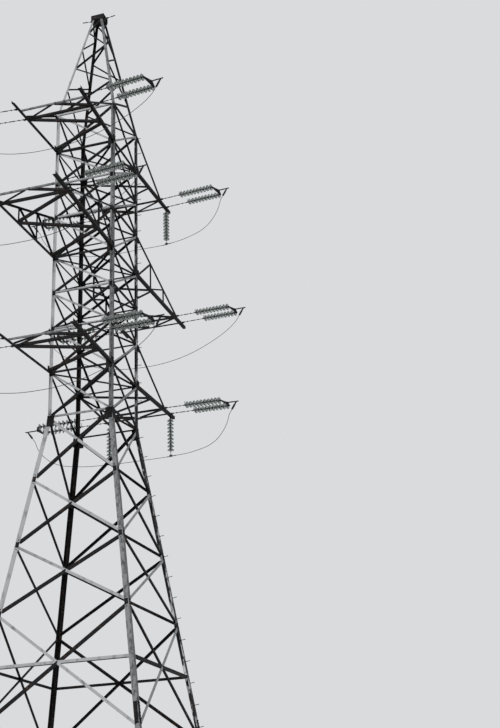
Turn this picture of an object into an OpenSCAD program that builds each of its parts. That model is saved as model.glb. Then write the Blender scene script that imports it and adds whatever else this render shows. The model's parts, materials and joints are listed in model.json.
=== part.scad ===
// Lattice tension pylon for two circuits, as a half-size model of the real tower.
// +X runs out along the right crossarms, +Y along the line, +Z up.
// The origin is on the ground at the tower's axis.

/* [Body] */
// Width over the legs from the waist to the top ring
body_w = 1690; // [1600:10:1800]
// Width over the legs at the ground
base_w = 5090; // [4800:10:5400]
// Height of the waist, where the legs turn upright
waist_z = 11170; // [10950:10:11300]
// Height of the section joint in the lower legs
splice_z = 3600; // [3400:10:3800]
// Height of each of the three braced panels below the waist
panel_h = 1625; // [1550:5:1700]

/* [Crossarms] */
// Height of the lowest crossarm's bottom chord
arm_z = 12350; // [12200:10:12550]
// Height from one crossarm to the next
arm_gap = 3250; // [3150:10:3400]
// Depth of a crossarm at the body
arm_depth = 1200; // [1100:10:1300]
// Reach of the top crossarm from the axis to its tip beam
top_reach = 2430; // [2250:5:2600]
// Reach of the middle crossarm from the axis to its tip beam
mid_reach = 3645; // [3300:5:3800]
// Reach of the lowest crossarm from the axis to its tip beam
low_reach = 2550; // [2300:5:2700]
// Width over the crossarm chords at the tip beam
tip_w = 1820; // [1760:10:1840]
// Length of the horns that carry the chords on past the tip beam
horn_l = 800; // [720:10:880]
// Distance from the tip beam out to the tie between the horns
tie_out = 400; // [340:5:440]
// Distance between the two strings of a tension set
string_gap = 475; // [440:5:520]
// Distance from the tip beam out to the hanging strings
hang_out = 570; // [540:5:620]
// Height of the gusset plates that join a crossarm to the legs
gusset_h = 190; // [150:5:240]
// Thickness of the gusset plates
gusset_t = 6; // [5:0.5:8]

/* [Peak] */
// Height from the top ring to the top of the peak legs
peak_h = 3640; // [3400:10:3900]
// Width over the peak legs at their top
peak_w = 310; // [270:5:340]
// Length of the earth-wire channels along the line
beam_l = 390; // [340:10:460]
// Height of the earth-wire channels
beam_h = 150; // [120:5:180]

/* [Steel angles] */
// Flange width of the lower legs
leg_b = 110; // [100:1:120]
// Flange thickness of the lower legs
leg_t = 10; // [8:1:12]
// Flange width of the upper legs
mast_b = 90; // [82:1:96]
// Flange thickness of the upper legs
mast_t = 8; // [6:1:10]
// Flange width of the peak legs
peak_b = 64; // [56:1:70]
// Flange width of the large diagonals
brace_b = 66; // [56:1:70]
// Flange width of the crossarm chords
chord_b = 80; // [70:1:88]
// Flange width of the light members
light_b = 44; // [38:1:48]
// Flange thickness of the diagonals and chords
bar_t = 5; // [4:1:6]

/* [Feet] */
// Width of a foot plate
foot_w = 280; // [260:5:320]
// Thickness of a foot plate
foot_t = 20; // [16:1:26]
// Distance between the anchor bolts of a foot
bolt_gap = 190; // [170:5:200]
// Radius of an anchor bolt hole
bolt_r = 15; // [12:0.5:17]

/* [Insulators] */
// Radius of an insulator disc
disc_r = 64; // [56:1:70]
// Pitch of the discs in a string
disc_pitch = 73; // [68:1:80]
// Number of discs in a tension string
disc_n = 15; // [13:1:16]
// Number of discs in a hanging jumper string
hang_n = 13; // [11:1:14]
// Length of the link rod between the crossarm and the first disc
link_l = 580; // [520:10:640]
// Length of the tube that takes the jumper under each dead-end clamp
terminal_l = 250; // [220:5:280]
// Angle of the tension strings from the line of the tower towards the left
line_angle = 12; // [6:1:16]
// Droop of the tension strings below the horizontal
string_droop = 5.5; // [3:0.5:8]
// Diameter of the jumper conductor
jumper_d = 14; // [12:1:16]

/* [Hidden] */
half = body_w / 2;
base_half = base_w / 2;
lean = atan((base_half - half) / waist_z);
peak_lean = atan((body_w - peak_w) / 2 / peak_h);
ring_z = arm_z + 2 * arm_gap + arm_depth;
panel_end_z = waist_z - 3 * panel_h;
top_z = ring_z + peak_h;
arm_levels = [arm_z, arm_z + arm_gap, arm_z + 2 * arm_gap];
free_gap = arm_gap - arm_depth;
body_levels = [
    waist_z,
    for (z = arm_levels) each [z, z + arm_depth, if (z < arm_levels[2]) z + arm_depth + free_gap / 2]
];
web_t = 4;
heel = 2;
seat = 0.8;
foot_inset = leg_b * 0.42;
cap_t = 12;
cap_margin = 40;
clearance = 0.3;
lug_l = 46;
lug_t = 16;
lug_w = 50;
rod_r = 9;
yoke_t = 12;
clamp_r = 17;
clamp_l = 330;
apex_out = 300;
terminal_tilt = 30;
step_out = 2;
weld = 1;
root_gap = 6;
gusset_out = 90;
lug_line = tip_w / 2 + 80;
hanger_l = 60;
stem_l = 100;
boat_l = 90;
boat_w = 34;
boat_h = 33.5;
peak_steps = [0, 0.26, 0.48, 0.68, 0.86, 1];
beam_plate_t = 10;
jumper_in = 162.5;
jumper_sides = 10;
free_half = [
    [0, -2883.5, -358.5], [14, -2816, -456], [32, -2660, -610], [46, -2380, -810],
    [54, -1950, -1040], [58, -1380, -1270], [60, -710, -1420]
];
held_half = [
    [0, -2883.5, -358.5], [14, -2816, -456], [46, -2730, -680], [120, -2560, -910],
    [250, -2270, -1100], [450, -1790, -1175], [732, -895, -1150]
];
free_route = [each free_half, [60, 0, -1465], each mirrored_route(free_half)];
held_route = [each held_half, [732, 0, -1158], each mirrored_route(held_half)];

steel = [0.42, 0.43, 0.44];
dark_steel = [0.30, 0.31, 0.32];
glass_tint = [0.72, 0.76, 0.72];
aluminium = [0.55, 0.56, 0.57];

// Half the tower's width over the legs at a height below the waist
function half_at(z) = base_half - (base_half - half) * z / waist_z;

// Where the diagonals of a panel cross, as a height
function cross_z(z1, z2) = z1 + (z2 - z1) * half_at(z1) / (half_at(z1) + half_at(z2));

// How much a crossarm's sides splay outwards, as a slope in plan
function splay(reach) = (tip_w / 2 - half) / (reach - half);

// Where the inner face of a crossarm's side lies at a distance x from the axis
function side_y(reach, x) = half + step_out + (x - half) * splay(reach);

// The points of a half route on the other side of the tower, in reverse order
function mirrored_route(half_route) = [
    for (i = [len(half_route) - 1:-1:0]) [half_route[i].x, -half_route[i].y, half_route[i].z]
];

// A steel angle along +X with its heel at y = 0, z = 0
module angle_bar(len, b, t) {
    translate([0, 0, -t])
        cube([len, b, t]);
    translate([0, 0, -b])
        cube([len, t, b]);
}

// A strip from p to q in the XY plane: its right edge lies this far left of the line, its top at height z
module strip(p, q, left, w, z, depth) {
    u = (q - p) / norm(q - p);
    n = [-u.y, u.x];
    translate([0, 0, z - depth])
        linear_extrude(depth)
            polygon([p + n * left, q + n * left, q + n * (left + w), p + n * (left + w)]);
}

// A steel angle from p to q in the XY plane, its flat flange just below height z
module strut(p, q, b, t, z = 0) {
    u = (q - p) / norm(q - p);
    strip(p, q, -b / 2, b, z, t);
    strip(p + u * heel, q - u * heel, heel - b / 2, t, z, b);
}

// Both diagonals of a panel between two legs, seated on the inner side of the leg flanges
module crossed(h1, v1, h2, v2, inset, b, z) {
    for (s = [-1, 1])
        strut([s * (inset - h1), v1], [s * (h2 - inset), v2], b, bar_t, z);
}

// The plane of a tapered side below the waist: x across, y up the slope, z outwards
module lower_side(k) {
    rotate([0, 0, 90 * k])
        translate([0, -base_half, 0])
            rotate([90 - lean, 0, 0])
                children();
}

// The plane of an upright side between the waist and the top ring
module upper_side(k) {
    rotate([0, 0, 90 * k])
        translate([0, -half, 0])
            rotate([90, 0, 0])
                children();
}

// The plane of a side of the peak
module peak_side(k) {
    rotate([0, 0, 90 * k])
        translate([0, -half, ring_z])
            rotate([90 - peak_lean, 0, 0])
                children();
}

// One flange of a leg in the plane of a side, on the corner line from [h1, v1] to [h2, v2]
module leg_flange(s, h1, v1, h2, v2, b, t) {
    translate([0, 0, -t])
        linear_extrude(t)
            polygon([[s * h1, v1], [s * h2, v2], [s * (h2 - b), v2], [s * (h1 - b), v1]]);
}

// A foot plate with its four anchor holes, at the right end of side k
module foot(k) {
    corner = base_half - foot_inset;
    rotate([0, 0, 90 * k])
        translate([corner, -corner, 0])
            difference() {
                translate([-foot_w / 2, -foot_w / 2, 0])
                    cube([foot_w, foot_w, foot_t]);
                for (x = [-1, 1], y = [-1, 1])
                    translate([x * bolt_gap / 2, y * bolt_gap / 2, -1])
                        cylinder(r = bolt_r, h = foot_t + 2, $fn = 32);
            }
}

module lower_leg(k) {
    v1 = (foot_t - 1) / cos(lean);
    v2 = waist_z / cos(lean);
    h1 = half_at(foot_t - 1);
    color(steel)
        union() {
            lower_side(k)
                leg_flange(1, h1, v1, half, v2, leg_b, leg_t);
            lower_side(k + 1)
                leg_flange(-1, h1, v1, half, v2, leg_b, leg_t);
            foot(k);
        }
}

module upper_leg(k) {
    color(steel)
        union() {
            upper_side(k)
                leg_flange(1, half, waist_z, half, ring_z, mast_b, mast_t);
            upper_side(k + 1)
                leg_flange(-1, half, waist_z, half, ring_z, mast_b, mast_t);
        }
}

// The two large crossed panels at the foot of a side, with the belt through the upper crossing
module base_bracing(k) {
    inset = leg_b * seat;
    belt_z = cross_z(splice_z, panel_end_z);
    belt_h = half_at(belt_z) - inset;
    levels = [foot_t, splice_z, panel_end_z];
    color(steel)
        lower_side(k) {
            for (i = [0, 1]) {
                z1 = levels[i] + brace_b;
                z2 = levels[i + 1] - brace_b;
                crossed(half_at(z1), z1 / cos(lean), half_at(z2), z2 / cos(lean), inset, brace_b, -leg_t);
            }
            strut([-belt_h, belt_z / cos(lean)], [belt_h, belt_z / cos(lean)], brace_b, bar_t, -leg_t);
        }
}

// The three crossed panels of a side up to the waist
module lower_bracing(k) {
    color(steel)
        lower_side(k)
            for (i = [0:2]) {
                z1 = panel_end_z + i * panel_h;
                z2 = z1 + panel_h;
                crossed(half_at(z1), (z1 + brace_b) / cos(lean), half_at(z2), (z2 - brace_b) / cos(lean),
                    leg_b * seat, brace_b, -leg_t);
            }
}

// The crossed panels of an upright side, with a horizontal at each level
module upper_bracing(k) {
    inset = mast_b * seat;
    color(steel)
        upper_side(k) {
            for (i = [0:len(body_levels) - 2])
                crossed(half, body_levels[i] + light_b, half, body_levels[i + 1] - light_b,
                    inset, brace_b * 0.8, -mast_t);
            for (z = body_levels)
                strut([inset - half, z + light_b / 2], [half - inset, z + light_b / 2], light_b, web_t, -mast_t);
        }
}

// Diagonals in plan that keep the body square, one cross at each crossarm's bottom chord
module plan_bracing() {
    reach = half - mast_t - light_b;
    color(steel)
        for (z = arm_levels)
            for (s = [-1, 1])
                strut([-reach, -s * reach], [reach, s * reach], light_b, web_t, z);
}

module peak_frame() {
    top = peak_w / 2;
    slope_h = peak_h / cos(peak_lean);
    inset = peak_b * seat;
    color(steel)
        union()
            for (k = [0:3])
                peak_side(k) {
                    for (s = [-1, 1])
                        leg_flange(s, half, 0, top, slope_h, peak_b, bar_t);
                    for (i = [0:len(peak_steps) - 2]) {
                        s = i % 2 == 0 ? -1 : 1;
                        h1 = half + (top - half) * peak_steps[i];
                        h2 = half + (top - half) * peak_steps[i + 1];
                        strut([s * (h1 - inset), peak_steps[i] * slope_h + light_b],
                            [s * (inset - h2), peak_steps[i + 1] * slope_h - light_b / 2], light_b, web_t, -bar_t);
                    }
                }
}

// One channel along the line with its web on the outside
module channel(side) {
    flange = peak_w / 4;
    translate([side * peak_w / 2, 0, 0])
        rotate([90, 0, 0])
            linear_extrude(beam_l, center = true)
                difference() {
                    translate([side > 0 ? -flange : 0, 0])
                        square([flange, beam_h]);
                    translate([side > 0 ? -flange - 1 : web_t * 2, web_t * 2])
                        square([flange + 1 - web_t * 2, beam_h - web_t * 4]);
                }
}

// The cap plate, the two channels and the top plate that carry the earth-wire clamps
module earth_wire_beam() {
    cap_w = peak_w + cap_margin;
    color(dark_steel)
        translate([0, 0, top_z]) {
            translate([-cap_w / 2, -cap_w / 2, 0])
                cube([cap_w, cap_w, cap_t]);
            for (s = [-1, 1])
                translate([0, 0, cap_t])
                    channel(s);
            translate([-peak_w / 2, -beam_l / 2, cap_t + beam_h])
                cube([peak_w, beam_l, beam_plate_t]);
        }
}

// One side truss of a right-hand crossarm from the leg's corner, in the plane x outwards, y up
module arm_truss(reach, bays) {
    along = sqrt(1 + splay(reach) ^ 2);
    tip = (reach + horn_l - half) * along;
    apex = (reach + apex_out - half) * along;
    rise = arm_depth - chord_b / 2;
    slope = (rise - chord_b) / (apex - root_gap);
    bay = (reach - half) * along / bays;
    translate([root_gap, 0, bar_t])
        angle_bar(tip - root_gap, chord_b, bar_t);
    translate([0, arm_depth, 0])
        mirror([0, 1, 0])
            strut([root_gap, arm_depth - rise], [apex, arm_depth - chord_b], chord_b, bar_t, bar_t);
    for (i = [1:1:bays - 1]) {
        x = bay * i;
        y = rise - slope * (x - root_gap);
        strut([x, chord_b / 2], [x, y], light_b, web_t, 0);
        strut([x, y], [max(x - bay, light_b), chord_b / 2], light_b, web_t, 0);
    }
}

// The two gusset plates that hold a side truss on the leg
module arm_gussets() {
    inner = mast_b * 0.9;
    for (z = [0, arm_depth - gusset_h])
        translate([half - inner, -half - gusset_t, z])
            cube([inner + gusset_out, gusset_t, gusset_h]);
}

// A right-hand crossarm at height 0: side trusses, gussets, tip beam, horn tie and plan zigzag
module crossarm(reach, bays) {
    mid = (half + reach) / 2;
    flat = chord_b / 2;
    tie = reach + tie_out;
    root_x = half + brace_b;
    color(dark_steel)
        union() {
            for (m = [0, 1])
                mirror([0, m, 0]) {
                    translate([half, -half - step_out, 0])
                        rotate([90, 0, -atan(splay(reach))])
                            arm_truss(reach, bays);
                    arm_gussets();
                    for (x = [reach, reach + string_gap])
                        translate([x - lug_w / 2, -lug_line, chord_b / 2 - lug_t / 2])
                            cube([lug_w, lug_line - side_y(reach, x) - bar_t / 2, lug_t]);
                }
            translate([0, 0, bar_t - weld])
                mirror([0, 0, 1]) {
                    w = side_y(reach, reach) - bar_t;
                    tie_w = side_y(reach, tie) - bar_t;
                    strut([reach, -w], [reach, w], chord_b, bar_t);
                    strut([tie, -tie_w], [tie, tie_w], light_b, web_t);
                    for (s = [-1, 1])
                        strut([reach + chord_b / 3, s * (side_y(reach, reach) - flat)],
                            [tie - light_b / 4, s * light_b], light_b, web_t);
                    strut([reach - chord_b / 3, side_y(reach, reach) - flat],
                        [mid + brace_b, flat - side_y(reach, mid)], brace_b, web_t);
                    strut([mid - brace_b, flat - side_y(reach, mid)],
                        [root_x, side_y(reach, root_x) - flat], brace_b, web_t);
                }
        }
}

// Outline of one insulator disc, from its cap to its pin, as radius and distance along the string
function disc_outline(z) = [
    [12, z],
    [24, z + 6],
    [26, z + 26],
    [disc_r - 6, z + 36],
    [disc_r, z + 44],
    [disc_r - 4, z + 50],
    [20, z + 46],
    [11, z + 56],
];

// A string of n discs along +Z
module disc_string(n) {
    rotate_extrude($fn = 24)
        polygon([
            [0, 0],
            for (i = [0:n - 1]) each disc_outline(i * disc_pitch),
            [12, n * disc_pitch],
            [0, n * disc_pitch]
        ]);
}

// One double tension set, from the lugs at the crossarm to the jumper terminal, along -Y before it turns
module tension_set() {
    set_l = link_l + disc_n * disc_pitch;
    for (x = [0, string_gap])
        translate([x, 0, 0]) {
            for (s = [-1, 1])
                translate([-lug_w / 2, -lug_l, s * (lug_t / 2 + yoke_t / 2) - yoke_t / 2])
                    cube([lug_w, lug_l - clearance, yoke_t]);
            translate([-lug_w / 2, -lug_l - yoke_t * 2, -lug_t / 2 - yoke_t])
                cube([lug_w, yoke_t * 2, lug_t + 2 * yoke_t]);
        }
    translate([0, -lug_l - yoke_t, 0])
        rotate([string_droop, 0, -line_angle]) {
            for (x = [0, string_gap])
                translate([x * cos(line_angle), 0, 0])
                    rotate([90, 0, 0]) {
                        shift = x * sin(line_angle);
                        translate([0, 0, -shift])
                            cylinder(r = rod_r, h = link_l + shift, $fn = 16);
                        translate([0, 0, link_l - 1])
                            disc_string(disc_n);
                    }
            translate([0, -set_l, 0])
                yoke();
        }
}

// The yoke plate, the dead-end clamp and the jumper terminal at the outer end of a tension set
module yoke() {
    w = string_gap * cos(line_angle);
    mid = w / 2;
    translate([0, 0, -yoke_t / 2])
        linear_extrude(yoke_t)
            polygon([[-30, 20], [w + 30, 20], [w + 30, -20], [mid + 30, -100], [mid - 30, -100], [-30, -20]]);
    translate([mid, -90, 0])
        rotate([90, 0, 0])
            cylinder(r = clamp_r, h = clamp_l, $fn = 20);
    translate([mid, -90 - clamp_l * 0.8, 0])
        rotate([terminal_tilt - 180, 0, 0])
            cylinder(r = clamp_r * 0.7, h = terminal_l, $fn = 16);
}

// Both tension sets of a right-hand crossarm whose tip beam is at this reach; turn is the side it stands on
module tension_sets(reach, side) {
    color(glass_tint)
        for (m = [0, 1])
            mirror([0, m, 0])
                translate([0, lug_l - lug_line, chord_b / 2])
                    if (side > 0)
                        translate([reach, 0, 0])
                            tension_set();
                    else
                        translate([-reach - string_gap, 0, 0])
                            tension_set();
}

// The two hanging strings under the horns of a right-hand crossarm, each with a clamp on the jumper
module jumper_string(reach) {
    x = reach + hang_out;
    disc_end = hanger_l + hang_n * disc_pitch;
    for (s = [-1, 1])
        translate([x, s * (side_y(reach, x) - chord_b / 2), 0])
            rotate([180, 0, 0]) {
                cylinder(r = rod_r, h = hanger_l + 1, $fn = 16);
                translate([0, 0, hanger_l])
                    disc_string(hang_n);
                translate([0, 0, disc_end - 1])
                    cylinder(r = rod_r, h = stem_l + 1, $fn = 16);
                translate([-boat_w / 2, -boat_l / 2, disc_end + stem_l - 1])
                    cube([boat_w, boat_l, boat_h + 1]);
            }
}

module jumper_strings() {
    color(glass_tint) {
        translate([0, 0, arm_levels[0]])
            jumper_string(low_reach);
        translate([0, 0, arm_levels[2]])
            jumper_string(top_reach);
    }
}

// The ring of points around point i of a route
function ring(route, i) =
    let (
        t = route[min(i + 1, len(route) - 1)] - route[max(i - 1, 0)],
        n = cross(t, [1, 0, 0]),
        e1 = n / norm(n),
        e2 = cross(t / norm(t), e1)
    )
    [for (j = [0:jumper_sides - 1])
        let (a = 360 * j / jumper_sides)
        route[i] + jumper_d / 2 * (cos(a) * e1 + sin(a) * e2)];

// A jumper, swept along its route
module jumper(route) {
    n = jumper_sides;
    last = len(route) - 1;
    color(aluminium)
        polyhedron(
            points = [for (i = [0:last]) each ring(route, i)],
            faces = [
                [for (j = [0:n - 1]) j],
                for (i = [0:last - 1], j = [0:n - 1])
                    [i * n + j, (i + 1) * n + j, (i + 1) * n + (j + 1) % n, i * n + (j + 1) % n],
                [for (j = [n - 1:-1:0]) last * n + j]
            ]
        );
}

// A jumper at its own crossarm
module jumper_node(level, side, reach, route) {
    x = side > 0 ? reach : -reach - string_gap;
    translate([x - jumper_in, 0, arm_levels[level]])
        jumper(route);
}

// A left or right crossarm at its own height
module arm_node(level, side, reach, bays) {
    translate([0, 0, arm_levels[level]])
        mirror([side < 0 ? 1 : 0, 0, 0])
            crossarm(reach, bays);
}

// The tension sets of a left or right crossarm at its own height
module set_node(level, side, reach) {
    translate([0, 0, arm_levels[level]])
        tension_sets(reach, side);
}

lower_leg(3);  // lower_leg_front_left
lower_leg(0);  // lower_leg_front_right
lower_leg(2);  // lower_leg_back_left
lower_leg(1);  // lower_leg_back_right
upper_leg(3);  // upper_leg_front_left
upper_leg(0);  // upper_leg_front_right
upper_leg(2);  // upper_leg_back_left
upper_leg(1);  // upper_leg_back_right
base_bracing(0);  // base_bracing_front
base_bracing(1);  // base_bracing_right
base_bracing(2);  // base_bracing_back
base_bracing(3);  // base_bracing_left
lower_bracing(0);  // lower_bracing_front
lower_bracing(1);  // lower_bracing_right
lower_bracing(2);  // lower_bracing_back
lower_bracing(3);  // lower_bracing_left
upper_bracing(0);  // upper_bracing_front
upper_bracing(1);  // upper_bracing_right
upper_bracing(2);  // upper_bracing_back
upper_bracing(3);  // upper_bracing_left
plan_bracing();
peak_frame();
earth_wire_beam();
arm_node(0, -1, low_reach, 1);  // crossarm_low_left
arm_node(0, 1, low_reach, 1);  // crossarm_low_right
arm_node(1, -1, mid_reach, 3);  // crossarm_mid_left
arm_node(1, 1, mid_reach, 3);  // crossarm_mid_right
arm_node(2, -1, top_reach, 1);  // crossarm_top_left
arm_node(2, 1, top_reach, 1);  // crossarm_top_right
set_node(0, -1, low_reach);  // tension_sets_low_left
set_node(0, 1, low_reach);  // tension_sets_low_right
set_node(1, -1, mid_reach);  // tension_sets_mid_left
set_node(1, 1, mid_reach);  // tension_sets_mid_right
set_node(2, -1, top_reach);  // tension_sets_top_left
set_node(2, 1, top_reach);  // tension_sets_top_right
jumper_strings();
jumper_node(0, -1, low_reach, free_route);  // jumper_low_left
jumper_node(0, 1, low_reach, held_route);  // jumper_low_right
jumper_node(1, -1, mid_reach, free_route);  // jumper_mid_left
jumper_node(1, 1, mid_reach, free_route);  // jumper_mid_right
jumper_node(2, -1, top_reach, free_route);  // jumper_top_left
jumper_node(2, 1, top_reach, held_route);  // jumper_top_right
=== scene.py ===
"""Dresses the lattice tension pylon: weathered steel, insulator strings, jumpers and fittings."""

from __future__ import annotations

import json
import logging
import math
from collections.abc import Callable, Iterable, Iterator
from contextlib import contextmanager
from dataclasses import dataclass
from enum import Enum, IntEnum
from itertools import pairwise

import bpy
from mathutils import Matrix, Vector

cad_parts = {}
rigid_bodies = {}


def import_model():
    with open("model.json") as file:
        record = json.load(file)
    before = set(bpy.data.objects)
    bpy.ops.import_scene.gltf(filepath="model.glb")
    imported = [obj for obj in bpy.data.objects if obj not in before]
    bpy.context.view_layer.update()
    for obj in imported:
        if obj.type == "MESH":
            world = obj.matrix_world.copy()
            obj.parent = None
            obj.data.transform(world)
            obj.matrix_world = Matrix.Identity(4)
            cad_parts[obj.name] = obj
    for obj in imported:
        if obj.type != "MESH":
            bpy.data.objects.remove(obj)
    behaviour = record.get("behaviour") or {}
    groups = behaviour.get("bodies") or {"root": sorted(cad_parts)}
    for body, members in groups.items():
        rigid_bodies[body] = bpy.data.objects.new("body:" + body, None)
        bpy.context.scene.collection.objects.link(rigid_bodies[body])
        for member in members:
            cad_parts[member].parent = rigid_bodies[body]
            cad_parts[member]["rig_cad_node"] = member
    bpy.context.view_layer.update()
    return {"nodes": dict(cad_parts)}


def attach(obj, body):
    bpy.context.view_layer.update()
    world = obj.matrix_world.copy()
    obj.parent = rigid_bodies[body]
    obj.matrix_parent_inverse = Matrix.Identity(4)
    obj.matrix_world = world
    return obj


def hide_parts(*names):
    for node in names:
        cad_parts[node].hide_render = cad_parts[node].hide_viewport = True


log = logging.getLogger("pylon")

BODY = "root"
SMOOTH_ANGLE = math.radians(32.0)
NOISE, BUMP, RANGE, MIX = "ShaderNodeTexNoise", "ShaderNodeBump", "ShaderNodeMapRange", "ShaderNodeMix"
# Sockets of a colour Mix node, where several share a name
FACTOR, FIRST, SECOND, MIXED = 0, 6, 7, 2

Triple = tuple[float, float, float]
Outline = tuple[tuple[float, float], ...]
# A bolted plate's width and height, and its bolts across and up
PlateSize = tuple[float, float, int, int]


def rings(*pairs: tuple[float, float]) -> Outline:
    """Turn radii and heights in millimetres into the outline of a turned solid in metres."""
    return tuple((radius / 1000, height / 1000) for radius, height in pairs)


def shift(x: float = 0.0, y: float = 0.0, z: float = 0.0) -> Matrix:
    """A move as a matrix."""
    return Matrix.Translation((x, y, z))


def tilt(degrees: float, axis: str) -> Matrix:
    """A turn about an axis as a matrix."""
    return Matrix.Rotation(math.radians(degrees), 4, axis)


MIRROR_X = Matrix.Scale(-1.0, 4, (1.0, 0.0, 0.0))
MIRROR_Y = Matrix.Scale(-1.0, 4, (0.0, 1.0, 0.0))
MIRROR_Z = Matrix.Scale(-1.0, 4, (0.0, 0.0, 1.0))
# As it is for the front, and mirrored for the back
FRONT_AND_BACK = (Matrix.Identity(4), MIRROR_Y)
# From a shape along +Z to one along -Y, as the strings leave the front of the tower
FORWARD = tilt(90.0, "X")
UPSIDE_DOWN = tilt(180.0, "X")


class Slot(Enum):
    """The record's material slots."""

    GALVANISED = "galvanised_steel"
    DARK_STEEL = "dark_steel"
    INSULATOR = "insulator"
    CONDUCTOR = "conductor"


class Pick(Enum):
    """What edit mode selects."""

    EDGE = "EDGE"
    FACE = "FACE"


class Tone(IntEnum):
    """The painted light of a bar in the bracing, by its place among the piece's materials: dark paints shade,
    palest and pale paint sunlight.
    """

    DARK = 0
    PALEST = 1
    PALE = 2


class Side(IntEnum):
    """A side of the body, in quarter turns from the front."""

    FRONT = 0
    RIGHT = 1
    BACK = 2
    LEFT = 3

    @property
    def has_arms(self) -> bool:
        """Whether the crossarms stand out from this side."""
        return self in (Side.RIGHT, Side.LEFT)


@dataclass(frozen=True)
class Arm:
    """One crossarm: its name, its place counted from the lowest and the side it reaches to."""

    name: str
    level: int
    side: int


ARMS = tuple(
    Arm(f"{height}_{hand}", level, side)
    for level, height in enumerate(("low", "mid", "top"))
    for hand, side in (("left", -1), ("right", 1))
)
# The levels where strings under the right-hand arm hold its jumper away from the body
HELD_LEVELS = (0, 2)


@dataclass(frozen=True)
class TowerSizes:
    """The tower's own sizes in metres, as the CAD part has them."""

    half: float = 0.845
    base_half: float = 2.545
    foot: float = 0.02
    waist: float = 11.17
    splice: float = 3.6
    panel: float = 1.625
    arm_level: float = 12.35
    arm_gap: float = 3.25
    arm_depth: float = 1.2
    reaches: Triple = (2.55, 3.645, 2.43)
    tip_half: float = 0.910
    step_out: float = 0.002
    gusset: Triple = (0.171, 0.006, 0.190)
    string_gap: float = 0.475
    lug_inset: Triple = (0.0, 0.029, 0.0)
    lug_line: float = 0.990
    lug_height: float = 0.040
    leg_flange: float = 0.110
    leg_t: float = 0.010
    mast_flange: float = 0.090
    mast_t: float = 0.008
    brace: float = 0.066
    light: float = 0.044
    top: float = 23.69

    @property
    def lean(self) -> float:
        """How far the lower sides lean inwards, in radians."""
        return math.atan((self.base_half - self.half) / self.waist)

    @property
    def seats(self) -> list[float]:
        """Heights of the crossarms' bottom chords, from the lowest up."""
        return [self.arm_level + index * self.arm_gap for index in range(3)]

    @property
    def ring(self) -> float:
        """Height of the top ring of the body."""
        return self.seats[2] + self.arm_depth

    @property
    def lower_levels(self) -> list[float]:
        """Heights where the panels of the lower body meet, from the foot plates to the waist."""
        return [self.foot, self.splice, *(self.waist - count * self.panel for count in (3, 2, 1)), self.waist]

    @property
    def body_levels(self) -> list[float]:
        """Heights of the horizontals between the waist and the top ring, both included."""
        free = self.arm_gap - self.arm_depth
        heights = [self.waist]
        for seat in self.seats:
            heights += [seat, seat + self.arm_depth, seat + self.arm_depth + free / 2]
        return heights[:-1]

    def lug_start(self, arm: Arm) -> float:
        """Distance along X of the lug that takes the first string of an arm's sets."""
        out = self.reaches[arm.level] - self.lug_inset[arm.level]
        return out if arm.side > 0 else -out - self.string_gap

    def arm_splay(self, level: int) -> float:
        """How much an arm's sides splay outwards, as a slope in plan."""
        return (self.tip_half - self.half) / (self.reaches[level] - self.half)

    def arm_side(self, level: int, x: float) -> float:
        """Distance from the middle of an arm to the inner face of its side, at a distance from the axis."""
        return self.half + self.step_out + (x - self.half) * self.arm_splay(level)

    def half_at(self, height: float) -> float:
        """Half the width over the legs at a height below the waist."""
        return self.base_half - (self.base_half - self.half) * height / self.waist

    def crossing(self, low: float, high: float) -> float:
        """Height where the two diagonals of a panel of the lower body cross."""
        wide, narrow = self.half_at(low), self.half_at(high)
        return low + (high - low) * wide / (wide + narrow)

    def face(self, side: Side, height: float) -> tuple[Matrix, float, float]:
        """Find the plane of a side of the body at one height.

        Args:
            side: the side.
            height: the height above the ground.

        Returns:
            The plane's matrix (x across, y up the side, z outwards), the half width there and the
            height measured up the plane.
        """
        turn = Matrix.Rotation(side * math.pi / 2, 4, "Z")
        if height >= self.waist:
            return turn @ (shift(y=-self.half) @ FORWARD), self.half, height
        plane = shift(y=-self.base_half) @ Matrix.Rotation(math.pi / 2 - self.lean, 4, "X")
        return turn @ plane, self.half_at(height), height / math.cos(self.lean)


def linear(hex_colour: str) -> tuple[float, float, float, float]:
    """Turn an sRGB hex colour into linear RGBA.

    Args:
        hex_colour: a colour such as "#8A8C8E".

    Returns:
        The linear red, green, blue and an alpha of 1.
    """
    parts = [int(hex_colour[i : i + 2], 16) / 255 for i in (1, 3, 5)]
    red, green, blue = (c / 12.92 if c <= 0.04045 else ((c + 0.055) / 1.055) ** 2.4 for c in parts)
    return red, green, blue, 1.0


def feed(tree: bpy.types.NodeTree, node: bpy.types.Node, inputs: dict) -> None:
    """Set or link inputs of a node.

    Args:
        tree: the node tree.
        node: the node.
        inputs: input names or indices, each with a value, an output socket, or a node whose first
            output is meant.
    """
    for name, value in inputs.items():
        if isinstance(value, bpy.types.Node):
            value = value.outputs[0]
        if isinstance(value, bpy.types.NodeSocket):
            tree.links.new(value, node.inputs[name])
        else:
            node.inputs[name].default_value = value


def add_node(
    tree: bpy.types.NodeTree, kind: str, inputs: dict | None = None, **settings: object
) -> bpy.types.Node:
    """Add one node to a tree.

    Args:
        tree: the node tree.
        kind: the node's type name.
        inputs: its inputs, as feed takes them.
        **settings: attributes of the node itself.

    Returns:
        The new node.
    """
    node = tree.nodes.new(kind)
    for name, value in settings.items():
        setattr(node, name, value)
    feed(tree, node, inputs or {})
    return node


def new_shader(name: str) -> tuple[bpy.types.Material, bpy.types.NodeTree, bpy.types.Node]:
    """Make an empty material.

    Args:
        name: the material's name.

    Returns:
        The material, its node tree and its surface shader.
    """
    material = bpy.data.materials.new(name)
    material.use_nodes = True
    tree = material.node_tree
    return material, tree, tree.nodes["Principled BSDF"]


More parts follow.
